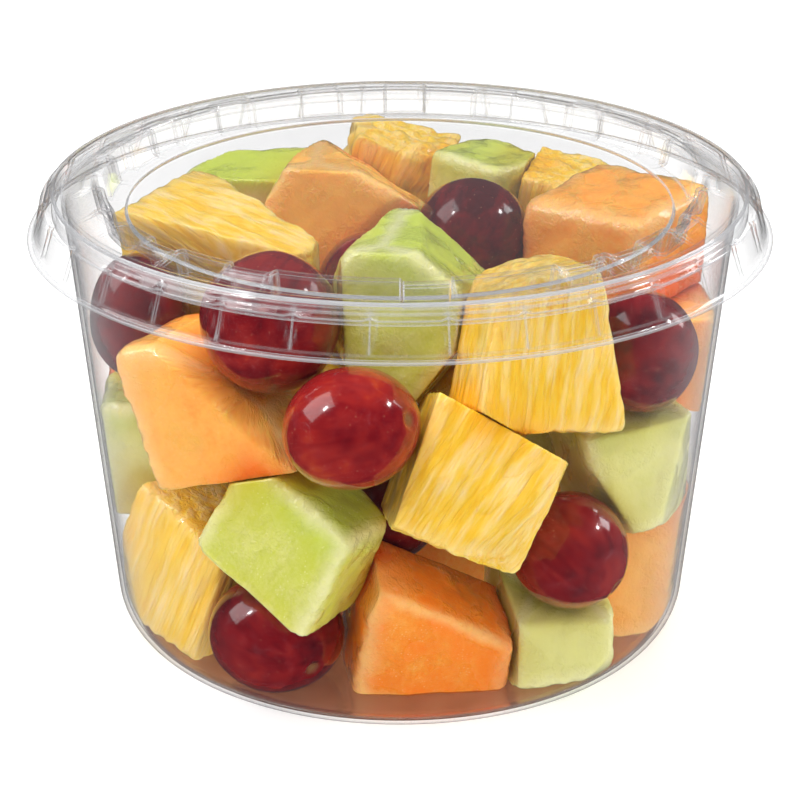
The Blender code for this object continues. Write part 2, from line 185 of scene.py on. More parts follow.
# Direction of the fibres in a chunk of pineapple, in its own axes, and how far off they fan out from
FIBRES = {
    "pineapple_01": ((1.0, 0.0, 0.1), 200.0),
    "pineapple_04": ((0.1, 0.0, 1.0), 150.0),
    "pineapple_05": ((0.15, 0.0, 1.0), 200.0),
    "pineapple_06": ((0.0, 0.1, 1.0), 200.0),
}
PLAIN_FIBRES = ((0.1, 0.1, 1.0), 180.0)
KNOBBLY = ("pineapple_02",)  # from just under the rind


# Materials


class Wire:
    """A node's output. Sums and products of wires add Math nodes."""

    def __init__(self, tree, socket):
        self.tree = tree
        self.socket = socket

    def node(self, kind, settings, inputs, output=0):
        """Adds a node: first its settings, then its sockets' values and links. Gives back one output."""
        made = self.tree.nodes.new(kind)
        for name, value in settings.items():
            if name == "stops":
                set_stops(made.color_ramp, value)
            else:
                setattr(made, name, value)
        for name, value in inputs.items():
            if isinstance(value, Wire):
                self.tree.links.new(value.socket, made.inputs[name])
            else:
                made.inputs[name].default_value = value
        return Wire(self.tree, made.outputs[output])

    def math(self, operation, *values, clamp=False):
        settings = {"operation": operation, "use_clamp": clamp}
        return self.node("ShaderNodeMath", settings, dict(enumerate(values)))

    def __add__(self, other):
        return self.math("ADD", self, other)

    __radd__ = __add__

    def __sub__(self, other):
        return self.math("SUBTRACT", self, other)

    def __rsub__(self, other):
        return self.math("SUBTRACT", other, self)

    def __mul__(self, other):
        return self.math("MULTIPLY", self, other)

    __rmul__ = __mul__

    def __pow__(self, power):
        return self.math("POWER", self, power)

    def between(self, low, high):
        """0 up to low, 1 from high on, and a smooth rise between them."""
        settings = {"interpolation_type": "SMOOTHSTEP"}
        return self.node("ShaderNodeMapRange", settings, {0: self, 1: low, 2: high})

    def mix(self, first, second):
        """The first colour where this wire is 0, the second where it is 1."""
        settings = {"data_type": "RGBA"}
        colours = {6: opaque(first), 7: opaque(second)}
        return self.node("ShaderNodeMix", settings, {0: self, **colours}, output=2)

    def stretch(self, x, y, z):
        """This vector with each of its parts multiplied."""
        settings = {"operation": "MULTIPLY"}
        return self.node("ShaderNodeVectorMath", settings, {0: self, 1: (x, y, z)})

    def noise(self, size, detail=2.0, roughness=0.5, distortion=0.0):
        """Soft noise over this vector, with features of about this size."""
        values = {"Vector": self, "Scale": 1 / size, "Detail": detail}
        values |= {"Roughness": roughness, "Distortion": distortion}
        return self.node("ShaderNodeTexNoise", {}, values)

    def cells(self, size, feature="F1"):
        """Distance to the nearest of the points strewn over this vector, or to the edge between two."""
        values = {"Vector": self, "Scale": 1 / size}
        return self.node("ShaderNodeTexVoronoi", {"feature": feature}, values)


def opaque(colour):
    return colour if isinstance(colour, Wire) else (*colour, 1.0)


def set_stops(ramp, stops):
    """Sets a ramp's stops, given as pairs of place and colour."""
    while len(ramp.elements) < len(stops):
        ramp.elements.new(1.0)
    for element, (place, colour) in zip(ramp.elements, stops):
        element.position = place
        element.color = (*colour, 1.0)


def new_finish(name):
    """A material with an empty tree, its output node and a wire to build from."""
    made = bpy.data.materials.new(name)
    made.use_nodes = True
    tree = made.node_tree
    tree.nodes.clear()
    output = tree.nodes.new("ShaderNodeOutputMaterial")
    return made, output, Wire(tree, None)


def attribute(start, name, kind="Vector"):
    output = {"Color": 0, "Vector": 1, "Fac": 2}[kind]
    return start.node("ShaderNodeAttribute", {"attribute_name": name}, {}, output)


def principled(start, output, values):
    shader = start.node("ShaderNodeBsdfPrincipled", {}, values)
    start.tree.links.new(shader.socket, output.inputs["Surface"])
    return shader


def bump(start, height, distance, strength=1.0, normal=None):
    """A Bump node: height times distance in millimetres."""
    values = {"Height": height, "Distance": distance * MM, "Strength": strength}
    if normal is not None:
        values["Normal"] = normal
    return start.node("ShaderNodeBump", {}, values)


def clear_sheet(name, tint, least, steepness, folded, coat):
    """Clear plastic, faintly uneven in its gloss.

    Only the least share of the light stops at it where it is met head on, and more and more of it the
    flatter it is met and the tighter it is folded, which draws its rims and folds in pale grey. That grey
    is painted reflection along the rims, and along the folds partly painted highlight and partly the
    paler plastic of a thick fold. The rest goes straight through.
    """
    made, output, start = new_finish(name)
    place = start.node("ShaderNodeTexCoord", {}, {}, output=3)
    flatness = start.node("ShaderNodeLayerWeight", {}, {"Blend": 0.5}, output=1)
    stopped = least + (1.0 - least) * flatness**steepness
    fold = attribute(start, "fold", "Fac")
    stopped = stopped.math("MAXIMUM", stopped, folded * fold * fold)
    # pale: a grey surface that paints the reflections at rims and, in part, the highlights at folds
    values = {"Base Color": (0.52, 0.525, 0.54, 1.0), "Roughness": 0.06 + 0.03 * place.noise(9 * MM, 0.0)}
    pale = start.node("ShaderNodeBsdfPrincipled", {}, values)
    if not coat:
        passed = start.node("ShaderNodeBsdfTransparent", {}, {"Color": opaque(tint)})
    else:
        values = {"Base Color": opaque(tint), "Roughness": 0.0, "IOR": 1.0, "Transmission Weight": 1.0}
        values |= {"Coat Weight": coat, "Coat IOR": 1.45, "Coat Roughness": 0.02}
        passed = start.node("ShaderNodeBsdfPrincipled", {}, values)
    seen = start.node("ShaderNodeMixShader", {}, {0: stopped, 1: passed, 2: pale})
    start.tree.links.new(seen.socket, output.inputs["Surface"])
    return made


def juice_finish():
    """Thin cloudy juice stained by the fruit, and painted darker as the fruit's shadow and reflection in the
    base.
    """
    made, output, start = new_finish("fruit_juice")
    place = start.node("ShaderNodeTexCoord", {}, {}, output=3)
    cloud = place.noise(8 * MM, 3.0)
    # the brown is partly juice and partly painted shadow and reflection of the fruit in the tub's base
    juice_stain_and_painted_shade = cloud.between(0.3, 0.7).mix((0.34, 0.14, 0.075), (0.43, 0.20, 0.115))
    values = {"Base Color": juice_stain_and_painted_shade, "Roughness": 0.1 + 0.1 * cloud, "IOR": 1.33}
    values |= {"Transmission Weight": 0.8, "Normal": bump(start, cloud, 0.2)}
    principled(start, output, values)
    return made


def melon_flesh(name, deep, middle, pale, shaded, glow, rind=None):
    """Wet melon flesh: cloudy, with wet crinkles, and painted light: paler cut edges and fine glints.

    It is painted darker and fuller in colour where it lies against its neighbours, as shade.
    """
    made, output, start = new_finish(name)
    own = attribute(start, "own")
    edge = attribute(start, "edge", "Fac")
    tone = attribute(start, "tone", "Fac")
    touch = attribute(start, "touch", "Fac")
    cloud = own.noise(7.0, 3.0, 0.55)
    streaks = own.stretch(1.0, 1.0, 0.22).noise(1.1, 2.0, 0.6)
    grain = own.noise(0.7, 1.0, 0.6)
    light = (cloud - 0.5) * 1.1 + (streaks - 0.5) * 0.4 + (grain - 0.5) * 0.45 + tone
    colour = light.between(-0.15, 0.9).mix(deep, middle)
    if rind is not None:
        depth = attribute(start, "depth", "Fac") + (cloud - 0.5) * 0.5
        colour = (depth.between(0.1, 1.1) * 0.75).mix(colour, rind)
    # painted light: paler along the cut edges, as the glow of light through them and off them
    rims = (edge + (cloud - 0.5) * 0.7).between(0.2, 1.05)
    colour = (rims * 0.75).mix(colour, pale)
    # painted glints: fine pale points where the wet flesh catches the light
    painted_glints = own.cells(0.75).between(0.30, 0.05) * own.noise(3.0, 0.0).between(0.45, 0.7)
    colour = (painted_glints * 0.6).mix(colour, pale)
    # painted shade: darker and fuller in colour towards each neighbouring piece
    colour = (touch * 0.85).mix(colour, shaded)
    crinkles = own.stretch(1.0, 0.6, 1.0).noise(1.1, 1.0, 0.5, 1.2)
    patches = (own.noise(7.0, 1.0) + edge * 0.25).between(0.42, 0.62)
    height = 0.3 * grain + 1.1 * crinkles * patches
    principled(
        start,
        output,
        {
            "Base Color": colour,
            "Roughness": 0.45 - 0.25 * patches,
            "IOR": 1.35,
            "Subsurface Weight": 0.75,
            "Subsurface Radius": glow,
            "Subsurface Scale": 3.2 * MM,
            "Coat Weight": 0.3 + 0.7 * patches,
            "Coat Roughness": 0.07,
            "Coat IOR": 1.4,
            "Normal": bump(start, height, 0.32),
        },
    )
    return made


def pineapple_flesh():
    """Wet pineapple: cream and golden bands along fibres that fan out, and pits between them, painted darker
    as shade.
    """
    made, output, start = new_finish("pineapple_flesh")
    own = attribute(start, "own")
    fibre = attribute(start, "fibre")
    edge = attribute(start, "edge", "Fac")
    tone = attribute(start, "tone", "Fac")
    bands = fibre.stretch(1.0, 1.0, 0.045).noise(1.9, 1.0, 0.5)
    fine = fibre.stretch(1.0, 1.0, 0.06).noise(0.6, 1.0, 0.6)
    cloud = own.noise(9.0, 2.0)
    split = fibre.stretch(1.0, 1.0, 0.05).noise(1.6, 0.0) - 0.5
    grooves = split.math("ABSOLUTE", split).between(0.06, 0.0)
    strands = bands.between(0.36, 0.64)
    light = (strands - 0.5) * 0.4 + (fine - 0.5) * 0.7 + (cloud - 0.5) * 0.5 + tone
    colour = light.node(
        "ShaderNodeValToRGB",
        {
            "stops": (
                (0.0, (0.83, 0.43, 0.008)),
                (0.35, (0.87, 0.55, 0.045)),
                (0.6, (0.89, 0.61, 0.14)),
                (0.95, (0.90, 0.68, 0.32)),
            )
        },
        {"Fac": light},
    )
    # painted light: paler along the cut edges, as the glow of light through them and off them
    colour = (edge.between(0.45, 1.0) * 0.35).mix(colour, (0.97, 0.76, 0.34))
    # painted shade: darker and fuller in colour where it lies against its neighbours
    colour = (attribute(start, "touch", "Fac") * 0.8).mix(colour, (0.90, 0.42, 0.004))
    # painted shade: the pits between the fibres a little darker
    colour = (grooves * 0.2).mix(colour, (0.90, 0.52, 0.03))
    wet = (own.noise(5.0, 1.0) + edge * 0.25).between(0.45, 0.7)
    height = 0.8 * fine + 0.8 * strands - 0.3 * grooves + 0.2 * wet * own.noise(0.9, 0.0)
    principled(
        start,
        output,
        {
            "Base Color": colour,
            "Roughness": 0.55 - 0.2 * wet,
            "IOR": 1.36,
            "Subsurface Weight": 0.6,
            "Subsurface Radius": (1.0, 0.72, 0.22),
            "Subsurface Scale": 2.4 * MM,
            "Coat Weight": 0.4 + 0.6 * wet,
            "Coat Roughness": 0.09,
            "Coat IOR": 1.38,
            "Normal": bump(start, height, 0.36),
        },
    )
    return made


def grape_skin():
    """Taut red skin: streaked from stem to tip, with a patchy bloom, pale dots and a brown stem scar."""
    made, output, start = new_finish("grape_skin")
    own = attribute(start, "own")
    fibre = attribute(start, "fibre")
    tone = attribute(start, "tone", "Fac")
    scar = attribute(start, "scar", "Fac")
    streaks = fibre.stretch(1.0, 1.0, 0.16).noise(2.2, 4.0, 0.6, 0.4)
    cloud = own.noise(9.0, 2.0)
    light = (streaks - 0.5) * 0.9 + (cloud - 0.5) * 1.2 + tone
    colour = light.node(
        "ShaderNodeValToRGB",
        {
            "stops": (
                (0.0, (0.055, 0.001, 0.005)),
                (0.4, (0.17, 0.004, 0.008)),
                (0.75, (0.28, 0.014, 0.012)),
                (1.0, (0.40, 0.045, 0.012)),
            )
        },
        {"Fac": light},
    )
    bloom = own.noise(4.5, 4.0, 0.7, 1.2).between(0.5, 0.78)
    colour = (bloom * 0.09).mix(colour, (0.36, 0.12, 0.16))
    dots = own.cells(1.5).between(0.12, 0.06)
    colour = (dots * 0.4).mix(colour, (0.50, 0.22, 0.14))
    colour = scar.mix(colour, (0.20, 0.085, 0.030))
    marks = own.noise(0.9, 3.0, 0.6, 1.0)
    height = marks * bloom + 0.3 * own.noise(3.0, 2.0)
    principled(
        start,
        output,
        {
            "Base Color": colour,
            "Roughness": 0.16 + 0.14 * bloom + 0.4 * scar,
            "IOR": 1.36,
            "Specular IOR Level": 0.35,
            "Coat Weight": 0.9 - 0.6 * scar,
            "Coat Roughness": 0.045,
            "Coat IOR": 1.36,
            "Normal": bump(start, height, 0.06),
        },
    )
    return made


def make_finishes():
    return {
        "tub": clear_sheet("tub_plastic", (0.985, 0.985, 0.985), 0.003, 5.0, 0.3, 0.0),
        "lid": clear_sheet("lid_plastic", (0.967, 0.965, 0.967), 0.0, 9.0, 0.42, 0.8),
        # melon colours: deep, middle, pale for the painted edge light and glints, shaded for the painted
        # shade near neighbours, then glow
        "cantaloupe": melon_flesh(
            "cantaloupe_flesh",
            (0.90, 0.24, 0.014),
            (0.97, 0.47, 0.095),
            (0.98, 0.60, 0.24),
            (0.82, 0.11, 0.001),
            (1.0, 0.42, 0.16),
        ),
        "honeydew": melon_flesh(
            "honeydew_flesh",
            (0.54, 0.57, 0.07),
            (0.74, 0.72, 0.29),
            (0.82, 0.80, 0.46),
            (0.56, 0.44, 0.02),
            (1.0, 0.95, 0.45),
            rind=(0.48, 0.60, 0.07),
        ),
        "juice": juice_finish(),
        "pineapple": pineapple_flesh(),
        "grape": grape_skin(),
    }


# Meshes


def make_piece(name, points, faces, finish, values=None, sharp=None):
    """A smooth mesh object from points in millimetres, with values given for each point."""
    mesh = bpy.data.meshes.new(name)
    mesh.from_pydata((points * MM).tolist(), [], faces)
    for key, numbers in (values or {}).items():
        numbers = np.asarray(numbers, np.float32)
        if numbers.ndim == 2:
            mesh.attributes.new(key, "FLOAT_VECTOR", "POINT").data.foreach_set("vector", numbers.ravel())
        else:
            mesh.attributes.new(key, "FLOAT", "POINT").data.foreach_set("value", numbers)
    mesh.shade_smooth()
    if sharp is not None:
        mesh.set_sharp_from_angle(angle=math.radians(sharp))
    mesh.materials.append(finish)
    ob = bpy.data.objects.new(name, mesh)
    bpy.context.scene.collection.objects.link(ob)
    return ob


def keep_in_frame(ob, node, slot):
    """The piece rides on the one body and stands for its node, which is hidden. Its slot is not used."""
    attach(ob, "root")
    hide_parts(node)


# Turned sheets


def wall_radius(height):
    """Outer radius of the tub's straight wall."""
    return BASE_RADIUS + (WALL_TOP_RADIUS - BASE_RADIUS) * height / WALL_TOP


def rounded_line(corners, spacing):
    """Points along a line whose corners, given as radius, height and bend, are rounded.

    Each bend is a quadratic curve that starts and ends that far from its corner. Straight stretches
    get a point every spacing.
    """
    line = [np.array(corners[0][:2], float)[None]]
    for (before, corner, after) in zip(corners, corners[1:], corners[2:]):
        at = np.array(corner[:2], float)
        back = np.array(before[:2]) - at
        ahead = np.array(after[:2]) - at
        start = at + back / np.linalg.norm(back) * corner[2]
        end = at + ahead / np.linalg.norm(ahead) * corner[2]
        line.append(straight(line[-1][-1], start, spacing))
        t = np.linspace(0, 1, 6)[1:, None]
        line.append((1 - t) ** 2 * start + 2 * t * (1 - t) * at + t**2 * end)
    line.append(straight(line[-1][-1], np.array(corners[-1][:2], float), spacing))
    return np.vstack(line)


def straight(start, end, spacing):
    """Points from start, which is left out, to end."""
    steps = max(1, math.ceil(np.linalg.norm(end - start) / spacing))
    return start + (end - start) * np.arange(1, steps + 1)[:, None] / steps


def beside(line, distance):
    """The line moved sideways by the distance, to its right as it runs."""
    along = np.gradient(line, axis=0)
    along /= np.linalg.norm(along, axis=1, keepdims=True)
    return line + distance * np.stack([along[:, 1], -along[:, 0]], axis=1)


def round_end(line, thickness):
    """The few points that close the sheet's edge in a half circle, from its right side to its left."""
    along = line[-1] - line[-2]
    along /= np.linalg.norm(along)
    right = np.array([along[1], -along[0]])
    turn = np.linspace(0, np.pi, 7)[1:-1, None]
    return line[-1] + thickness / 2 * (np.cos(turn) * right + np.sin(turn) * along)


def close_rings(rings, ends):
    """Joins rings of points into one closed skin, ended on the axis at the two given heights."""
    rows, columns = rings.shape[:2]
    points = np.vstack([rings.reshape(-1, 3), [[0.0, 0.0, end] for end in ends]])
    i, j = np.meshgrid(np.arange(rows - 1), np.arange(columns), indexing="ij")
    k = (j + 1) % columns
    quads = np.stack([i * columns + j, i * columns + k, (i + 1) * columns + k, (i + 1) * columns + j], -1)
    j = np.arange(columns)
    k = (j + 1) % columns
    pole = np.full(columns, rows * columns)
    outer = (rows - 1) * columns
    first = np.stack([pole, k, j], -1)
    last = np.stack([pole + 1, outer + j, outer + k], -1)
    return points, quads.reshape(-1, 4).tolist() + first.tolist() + last.tolist()


def turned_sheet(line, thickness, turns, shift):
    """A closed sheet turned about Z from its middle line, which starts on the axis.

    It runs out along the line's right side, round its end and back along its left. shift gives how
    far each point is moved outwards, from the turn in degrees, the radius and the height.
    """
    section = np.vstack([
        beside(line, thickness / 2)[1:],
        round_end(line, thickness),
        beside(line, -thickness / 2)[:0:-1],
    ])
    radius = np.broadcast_to(section[:, 0, None], (len(section), len(turns)))
    height = np.broadcast_to(section[:, 1, None], radius.shape)
    radius = radius + shift(turns[None, :], radius, height)
    angle = np.radians(turns - 90.0)
    rings = np.stack([radius * np.cos(angle), radius * np.sin(angle), height], axis=-1)
    points, faces = close_rings(rings, (line[0, 1] - thickness / 2, line[0, 1] + thickness / 2))
    return points, faces, {"fold": np.append(fold_values(rings), [0.0, 0.0])}


def bend_values(before, here, after):
    """The angle between the steps to and from each point over their mean length, per millimetre."""
    first, second = here - before, after - here
    lengths = np.linalg.norm(first, axis=-1), np.linalg.norm(second, axis=-1)
    cosine = (first * second).sum(axis=-1) / np.maximum(lengths[0] * lengths[1], 1e-9)
    return np.arccos(np.clip(cosine, -1.0, 1.0)) / np.maximum((lengths[0] + lengths[1]) / 2, 0.05)


def fold_values(rings):
    """How tightly a sheet is folded at each point of its rings: 1 at a radius of FOLD_RADIUS or less."""
    up = np.zeros(rings.shape[:2])
    up[1:-1] = bend_values(rings[:-2], rings[1:-1], rings[2:])
    round_ = bend_values(np.roll(rings, 1, axis=1), rings, np.roll(rings, -1, axis=1))
    return np.clip(np.maximum(up, 0.75 * round_) * FOLD_RADIUS, 0.0, 1.0).ravel()


def make_tub(finish):
    """Floor with a fine bead, bend, tapered wall and a rim turned over at its edge."""
    slope = math.atan((WALL_TOP_RADIUS - BASE_RADIUS) / WALL_TOP)
    middle = wall_radius(CORNER) - CORNER / math.cos(slope)
    turn = np.linspace(-np.pi / 2, -slope, 14)
    bend = CORNER - WALL / 2
    corner = np.stack([middle + bend * np.cos(turn), CORNER + bend * np.sin(turn)], axis=1)
    floor = straight(np.zeros(2), np.array([middle, 0.0]), 1.0)[:-1]
    hump = np.exp(-(((floor[:, 0] - FLOOR_BEAD) / 0.5) ** 2))
    floor[:, 1] = WALL / 2 + FLOOR_BEAD_HEIGHT * hump
    half = WALL / 2
    upper = rounded_line(
        [
            (*corner[-1], 0),
            (WALL_TOP_RADIUS - half, WALL_TOP, 1.0),
            (WALL_TOP_RADIUS + 1.0 - half, RIM_TOP - half, 0.5),
            (RIM_RADIUS - half, RIM_TOP - half, 0.5),
            (RIM_RADIUS - half, RIM_TOP - RIM_DROP + half, 0),
        ],
        2.5,
    )
    line = np.vstack([[[0.0, WALL / 2]], floor, corner[:-1], upper])
    turns = np.arange(0.0, 360.0, 2.0)
    points, faces, values = turned_sheet(line, WALL, turns, lambda turn, radius, height: 0.0)
    return make_piece("tub_shell", points, faces, finish, values)


def rib_shift(turn, height):
    """Pointed flutes in the skirt: deepest and widest at its top, and nothing at its foot."""
    pitch = 360.0 / RIBS
    off = np.abs((turn - RIB_TURN + pitch / 2) % pitch - pitch / 2)
    rise = np.clip((height - SKIRT_FOOT) / (SKIRT_TOP - SKIRT_FOOT), 0.0, 1.0)
    fade = np.clip((CREST_TOP - 1.6 - height) / 1.0, 0.0, 1.0)
    width = RIB_HALF_ANGLE * np.maximum(rise, 0.08)
    return -RIB_DEPTH * rise * fade * np.clip(1.0 - off / width, 0.0, 1.0)


def lug_shift(turn, radius, height):
    """Square lugs that step the recess's wall and the raised ring outwards, and fade in the channel."""
    off = np.min([np.abs((turn - lug + 180.0) % 360.0 - 180.0) for lug in LUGS], axis=0)
    side = np.clip((LUG_HALF_ANGLE + 0.6 - off) / 0.6, 0.0, 1.0)
    start = np.clip((radius - PANEL_RADIUS + 1.2) / 0.8, 0.0, 1.0)
    fade = np.clip((CHANNEL_RADIUS - 0.6 - radius) / (CHANNEL_RADIUS - 0.6 - RING_OUTER), 0.0, 1.0)
    return LUG_DEPTH * side * start * fade


def lid_shift(turn, radius, height):
    on_skirt = radius > CREST_RADIUS
    on_ring = radius < CHANNEL_RADIUS
    shift = np.where(on_skirt, rib_shift(turn, height), 0.0)
    return shift + np.where(on_ring, lug_shift(turn, radius, height), 0.0)


def lid_turns():
    """Even turns, and closer ones at the sides of each rib and each lug."""
    even = np.arange(0.0, 360.0, 3.0)
    steps = np.array([-1.0, -0.6, -0.25, 0.0, 0.25, 0.6, 1.0]) * RIB_HALF_ANGLE
    ribs = RIB_TURN + np.arange(RIBS)[:, None] * 360.0 / RIBS + steps
    corners = LUG_HALF_ANGLE + np.array([-0.25, 0.0, 0.3, 0.6, 0.85])
    lugs = np.array(LUGS)[:, None] + np.concatenate([-corners, corners])
    turns = np.sort(np.concatenate([even, ribs.ravel(), lugs.ravel()]) % 360.0)
    return turns[np.diff(turns, append=361.0) > 0.04]


def make_lid(finish):
    """Sunk panel, recess wall, raised ring, channel, crest, ribbed skirt and lip."""
    half = SHEET / 2
    line = rounded_line(
        [
            (0.0, PANEL_TOP - half, 0),
            (PANEL_RADIUS - 3.2, PANEL_TOP - half, 0.5),
            (PANEL_RADIUS - 2.6, PANEL_TOP - half + 0.25, 0.5),
            (PANEL_RADIUS + half, PANEL_TOP - half + 0.25, 0.5),
            (RING_INNER - 0.35, RING_TOP - 2.4, 0.4),
            (RING_INNER + 0.1, RING_TOP - half, 0.7),
            (RING_OUTER, RING_TOP - half, 0.6),
            (RING_OUTER + 1.5, RING_TOP - 1.3, 0.6),
            (CHANNEL_RADIUS - 1.2, CHANNEL_TOP - half, 0.8),
            (CHANNEL_RADIUS + 0.5, CHANNEL_TOP - half - 0.1, 0.6),
            (CREST_RADIUS - 1.6, CREST_TOP - half, 1.0),
            (CREST_RADIUS - 0.2, CREST_TOP - half - 0.2, 0.7),
            (CREST_RADIUS + 0.6, CREST_TOP - 1.9, 0.4),
            (SKIRT_TOP_RADIUS - half, SKIRT_TOP + 0.7, 0.4),
            (SKIRT_TOP_RADIUS - half + 0.12, SKIRT_TOP, 0.2),
            (SKIRT_FOOT_RADIUS - half, SKIRT_FOOT + 0.4, 0.4),
            (SKIRT_FOOT_RADIUS + 0.3, LIP_BOTTOM + half, 0.3),
            (LIP_RADIUS - half, LIP_BOTTOM + half, 0),
        ],
        3.0,
    )
    points, faces, values = turned_sheet(line, SHEET, lid_turns(), lid_shift)
    return make_piece("lid_shell", points, faces, finish, values, sharp=50)


def make_juice(finish):
    """The thin pool of juice in the bottom, with its edge drawn up a little where it meets the wall; it also
    carries the painted shadow and reflection of the fruit.
    """
    height = np.linspace(WALL + 0.02, JUICE_TOP + 0.7, 8)
    slope = (WALL_TOP_RADIUS - BASE_RADIUS) / WALL_TOP
    middle = wall_radius(CORNER) - CORNER * math.hypot(1.0, slope)
    bend = CORNER - WALL + 0.05
    side = middle + np.sqrt(bend**2 - (CORNER - height) ** 2)
    across = np.linspace(side[-1], 2.0, 24)[1:]
    surface = JUICE_TOP + 0.7 * np.exp((across - side[-1]) / 0.9)
    line = np.vstack([
        np.stack([np.linspace(2.0, side[0], 20)[:-1], np.full(19, height[0])], axis=1),
        np.stack([side, height], axis=1),
        np.stack([across, surface], axis=1),
    ])
    turns = np.arange(0.0, 360.0, 2.0)
    radius = np.broadcast_to(line[:, 0, None], (len(line), len(turns)))
    level = np.broadcast_to(line[:, 1, None], radius.shape)
    angle = np.radians(turns - 90.0)
    rings = np.stack([radius * np.cos(angle), radius * np.sin(angle), level], axis=-1)
    points, faces = close_rings(rings, (height[0], JUICE_TOP))
    juice = make_piece("juice", points, faces, finish)
    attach(juice, "root")
    return juice


# Fruit


def turn_matrix(degrees):
    """Turn about X, then Y, then Z."""
    (cx, cy, cz), (sx, sy, sz) = np.cos(np.radians(degrees)), np.sin(np.radians(degrees))
    about_x = np.array([[1, 0, 0], [0, cx, -sx], [0, sx, cx]])
    about_y = np.array([[cy, 0, sy], [0, 1, 0], [-sy, 0, cy]])
    about_z = np.array([[cz, -sz, 0], [sz, cz, 0], [0, 0, 1]])
    return about_z @ about_y @ about_x


def unit(vectors):
    return vectors / np.linalg.norm(vectors, axis=-1, keepdims=True)


def even_directions(count):
    """Unit vectors spread evenly over a sphere along a spiral."""
    step = np.arange(count) + 0.5
    height = 1 - 2 * step / count
    turn = np.pi * (1 + math.sqrt(5)) * step
    flat = np.sqrt(1 - height**2)
    return np.stack([flat * np.cos(turn), flat * np.sin(turn), height], axis=1)


def inside_tub(points):
    """True for each point in the room for fruit: inside the wall, over the floor, under the lid."""
    floor = WALL + CLEARANCE
    ceiling = PANEL_TOP - SHEET - GAP
    height = points[:, 2]
    reach = wall_radius(height) - WALL - CLEARANCE
    bend = CORNER - floor
    drop = np.clip(CORNER - height, 0, bend)
    reach = reach - (bend - np.sqrt(bend**2 - drop**2))
    across = np.hypot(points[:, 0], points[:, 1])
    return (across <= reach) & (height >= floor) & (height <= ceiling)


def waves(points, shortest, longest, seed, count=28):
    """Smooth unevenness of about -1 to 1: a sum of waves that run in random directions."""
    chance = np.random.default_rng(seed)
    ways = unit(chance.normal(size=(count, 3)))
    lengths = chance.uniform(shortest, longest, count)
    shifts = chance.uniform(0, 2 * np.pi, count)
    return np.sin(points @ (ways * (2 * np.pi / lengths)[:, None]).T + shifts).sum(axis=1) / math.sqrt(count)


class Piece:
    """A piece of fruit: its surface is given as a distance from its middle in each direction."""

    def __init__(self, number, name, middle, half, turns, wedge=None, cut=None):
        self.number = number
        self.name = name
        self.kind = name.split("_")[0]
        self.middle = np.array(middle, float)
        self.half = np.array(half, float)
        self.turn = turn_matrix(turns)
        self.presses = []
        chance = np.random.default_rng(number)
        sides = np.concatenate([np.eye(3), -np.eye(3)]) + chance.uniform(-SIDE_TILT, SIDE_TILT, (6, 3))
        if wedge:
            pair, along, degrees = wedge
            sides[[pair, pair + 3], along] += math.tan(math.radians(degrees))
        spread = chance.uniform(1 - SIZE_SPREAD, 1 + SIZE_SPREAD, 6)
        self.offsets = np.concatenate([self.half, self.half]) * spread
        if cut:
            sides = np.vstack([sides, cut[0]])
            self.offsets = np.append(self.offsets, cut[1])
        self.sides = sides / np.linalg.norm(sides, axis=1, keepdims=True) @ self.turn.T

    def facing(self, directions):
        """How near each direction comes to each side of a chunk, as one over the reach to it."""
        return np.clip(directions @ self.sides.T, 0, None) / self.offsets

    def free_reach(self, directions):
        """The reach of the untouched piece.

        A grape is an ellipsoid. On a chunk the sum of (n . x / offset) to the EDGE_POWER, over the
        sides that face the direction, is one, which rounds the box's edges and corners.
        """
        if self.kind == "grape":
            return 1 / np.linalg.norm(directions @ self.turn / self.half, axis=1)
        power = EDGE_POWERS.get(self.kind, EDGE_POWER)
        return (self.facing(directions) ** power).sum(axis=1) ** (-1 / power)

    def held_in_tub(self, directions, reach):
        """The reach where the tub and the lid stop it, found by halving."""
        low, high = np.zeros(len(reach)), reach.copy()
        for _ in range(20):
            middle = (low + high) / 2
            held = inside_tub(self.middle + directions * middle[:, None])
            low = np.where(held, middle, low)
            high = np.where(held, high, middle)
        return np.where(inside_tub(self.middle + directions * reach[:, None]), reach, low)

    def held_by_neighbours(self, directions, reach):
        """The reach where the flat faces between it and its neighbours stop it."""
        for normal, offset in self.presses:
            along = directions @ normal
            room = offset - normal @ self.middle
            reach = np.where(along > 1e-6, np.minimum(reach, room / np.maximum(along, 1e-6)), reach)
        return reach


def press_together(pieces):
    """Gives each pair that meets a flat face between them, in the direction of least overlap.

    Two chunks give way by the same amount. A grape is firm, so the chunk beside it gives way.
    """
    directions = even_directions(400)
    reaches = [p.held_in_tub(directions, p.free_reach(directions)) for p in pieces]
    points = [p.middle + directions * r[:, None] for p, r in zip(pieces, reaches)]
    sizes = [r.max() for r in reaches]
    tries = even_directions(800)
    for i, a in enumerate(pieces):
        for j in range(i + 1, len(pieces)):
            b = pieces[j]
            way = b.middle - a.middle
            distance = np.linalg.norm(way)
            if distance > sizes[i] + sizes[j] + GAP:
                continue
            near = np.vstack([tries[tries @ way > 0.5 * distance], way / distance])
            ends = (points[i] @ near.T).max(axis=0)
            starts = (points[j] @ near.T).min(axis=0)
            best = (ends - starts).argmin()
            overlap = ends[best] - starts[best] + GAP
            if overlap < 0:
                continue
            share = 0.5 + 0.5 * ((b.kind == "grape") - (a.kind == "grape"))
            face = ends[best] - share * overlap
            a.presses.append((near[best], face))
            b.presses.append((-near[best], -face - GAP))


def contact_shade_values(piece, points, pieces):
    """How near each point is to another piece of fruit, for the painted shade between them: 1 where they
    meet, falling off over some mm.
    """
    nearest = np.full(len(points), 99.0)
    for other in pieces:
        if other is piece or np.linalg.norm(other.middle - piece.middle) > 50.0:
            continue
        away = points - other.middle
        distance = np.linalg.norm(away, axis=1)
        near = distance < other.half.max() * 1.9
        if near.any():
            reach = other.free_reach(away[near] / distance[near, None])
            nearest[near] = np.minimum(nearest[near], distance[near] - reach)
    return np.exp(-np.clip(nearest, 0.0, None) / CONTACT_SHADE_DISTANCE)


